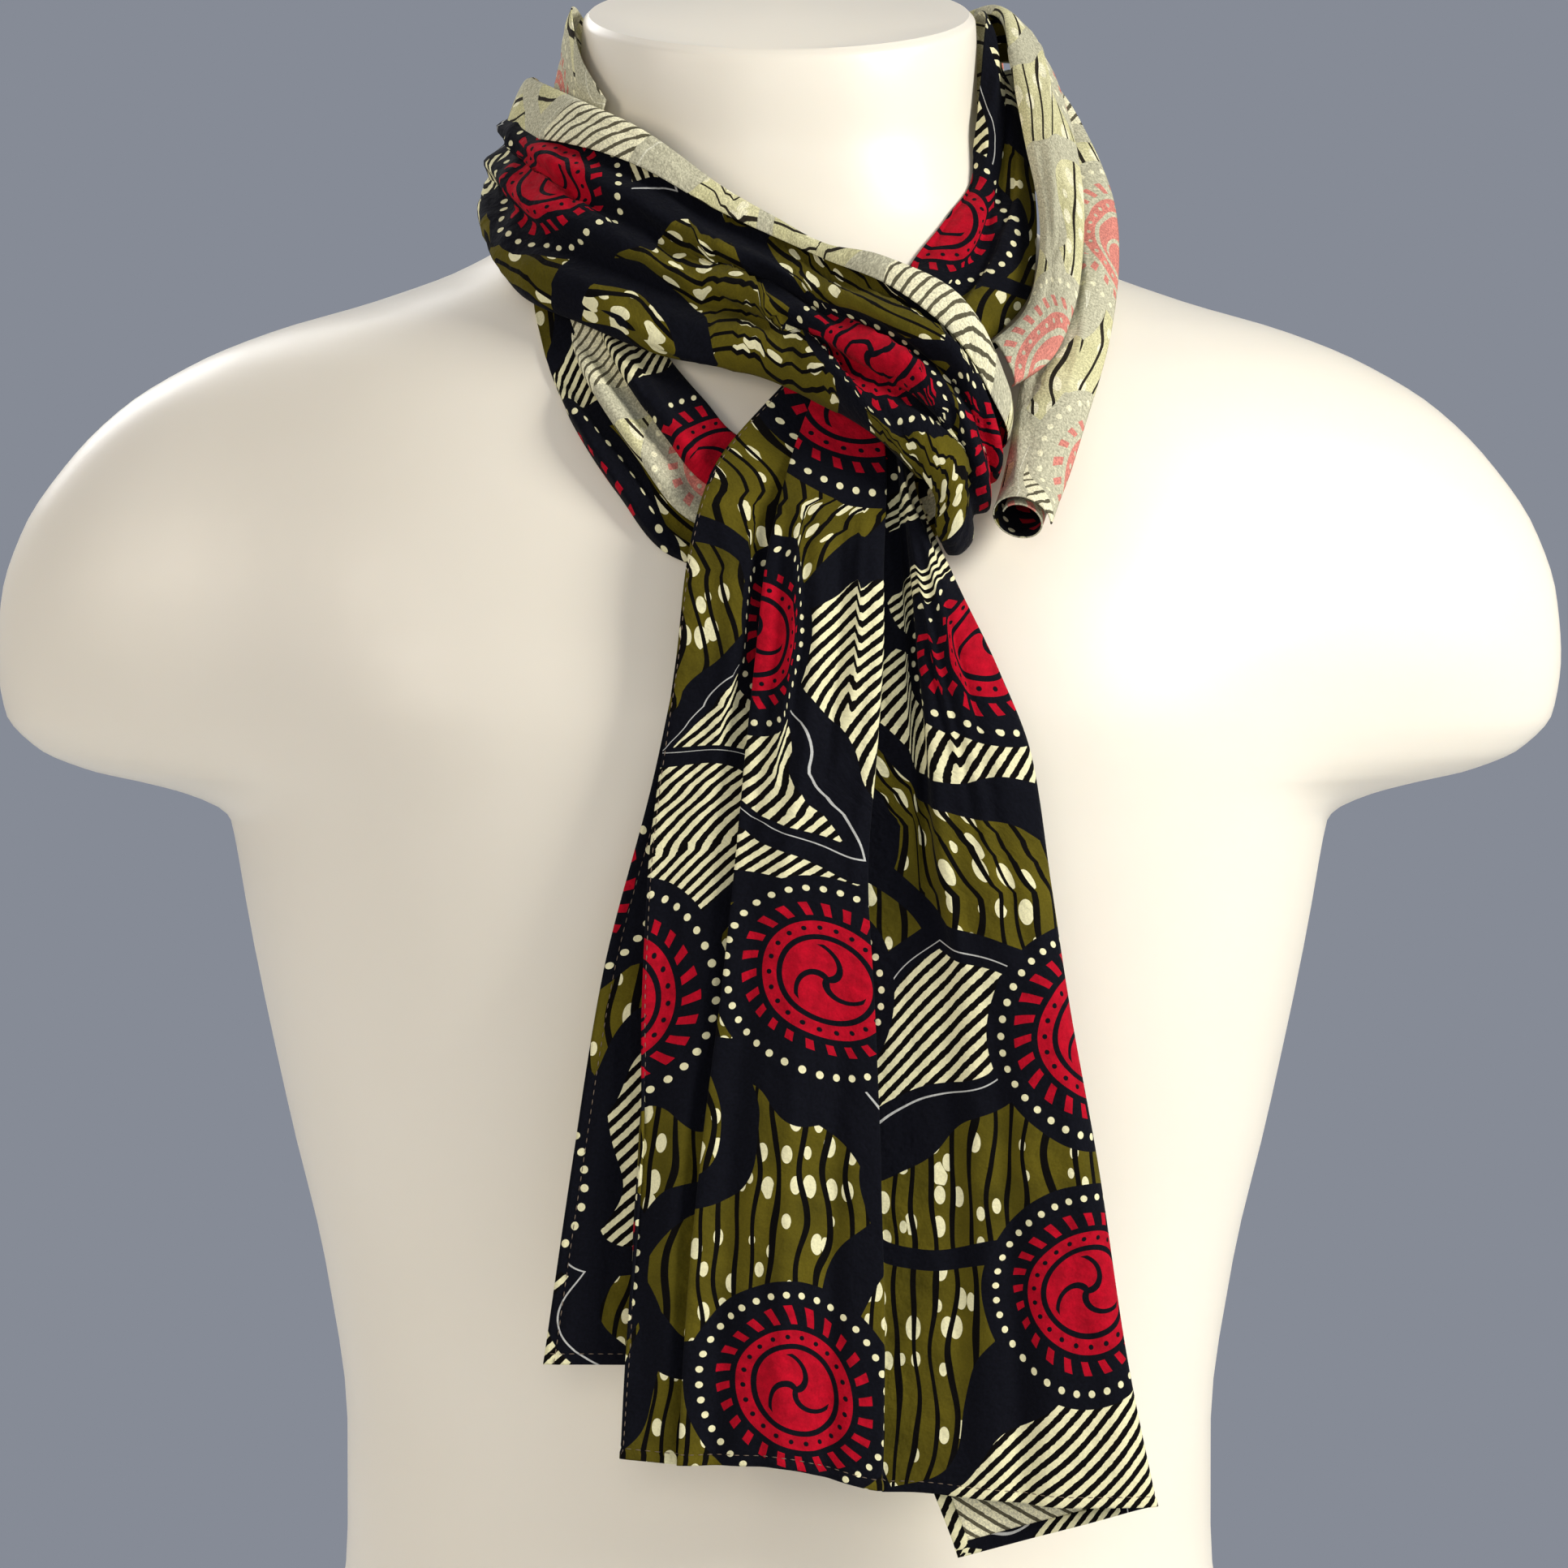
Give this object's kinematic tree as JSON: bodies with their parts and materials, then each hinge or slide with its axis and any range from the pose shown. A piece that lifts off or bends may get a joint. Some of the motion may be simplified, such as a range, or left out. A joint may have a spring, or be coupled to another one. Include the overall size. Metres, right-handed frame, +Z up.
{
  "type": "scarf on a torso form",
  "caption": "Thin printed cotton scarf, folded in half round the neck and pulled through its own loop, on a smooth limbless torso form.",
  "frame": {"origin": "centre of the torso form's flat base, on the surface that it stands on", "axes": "+Z up, +X to the viewer's right when the knot faces the viewer, +Y away from the viewer, towards the form's back"},
  "size_m": [0.5122, 0.255, 0.6774],
  "materials": {
    "glossy_plastic": "off-white moulded plastic with a satin gloss",
    "cotton_face": "plain-woven printed cotton, printed side, in near-black, olive, red and cream",
    "cotton_reverse": "the same cotton's paler, matte reverse"
  },
  "bodies": {
    "root": {"torso_form": "glossy_plastic", "collar_back": "cotton_reverse", "collar_left_inner": "cotton_reverse", "loop_upper": "cotton_face", "loop_lower": "cotton_face", "collar_right_inner": "cotton_face", "collar_right_roll": "cotton_reverse", "collar_right_outer": "cotton_reverse", "tail_front": "cotton_face", "tail_back": "cotton_face"}
  },
  "joints": []
}
